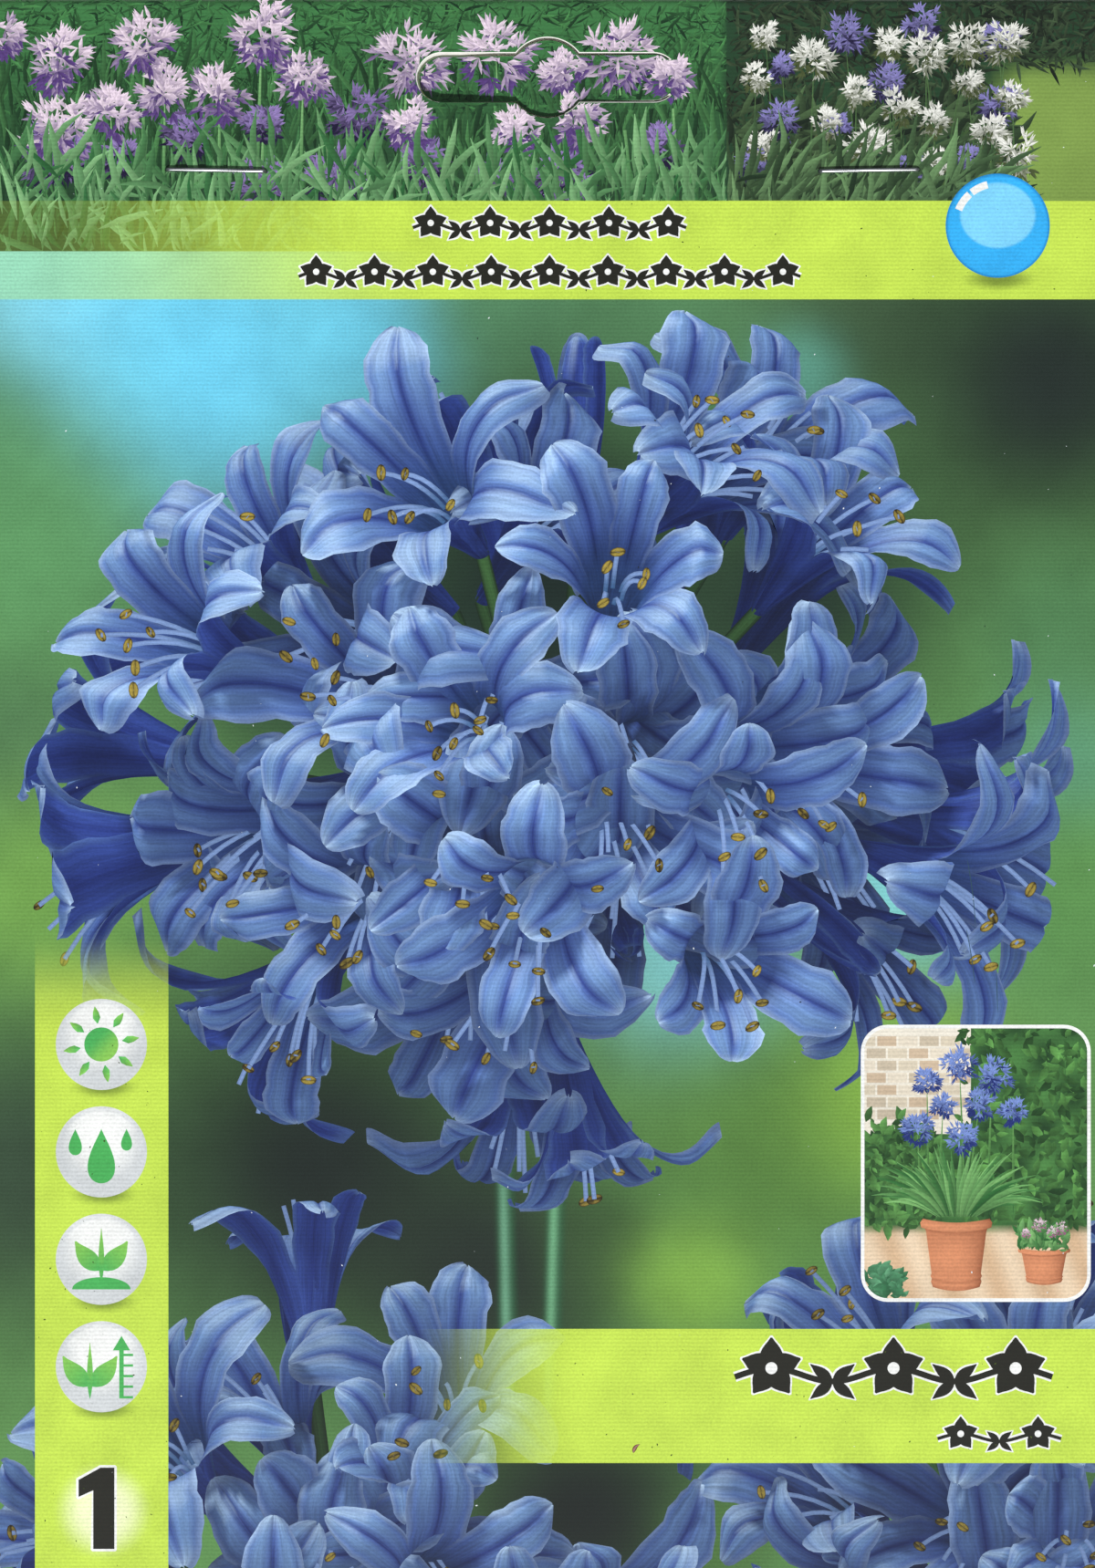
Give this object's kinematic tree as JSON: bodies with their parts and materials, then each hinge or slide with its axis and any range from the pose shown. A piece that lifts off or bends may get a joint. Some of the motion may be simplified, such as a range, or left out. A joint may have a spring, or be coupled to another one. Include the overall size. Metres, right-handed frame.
{
  "type": "hanging plant root pack",
  "caption": "Picture card folded over the neck of a clear bag of peat and stapled through, with a euro hanging slot whose tongue is still in.",
  "frame": {"origin": "on the surface the pack lies on, under the middle of the pack", "axes": "+X to the right of the picture, +Y up the card towards the hanging slot, +Z out of the picture"},
  "size_m": [0.135, 0.1934, 0.0236],
  "materials": {
    "coated_board": "white board with a semi-gloss printed coating, white core at its cut edges",
    "staple_steel": "bright round steel wire",
    "clear_film": "clear polythene film, glossy and a little creased",
    "damp_peat": "damp dark peat with pale wood shavings",
    "root_skin": "matt tan root skin"
  },
  "bodies": {
    "root": {"picture_card": "coated_board", "staple_left": "staple_steel", "staple_right": "staple_steel", "bag_film": "clear_film", "peat_fill": "damp_peat", "rootstock": "root_skin"}
  },
  "joints": []
}
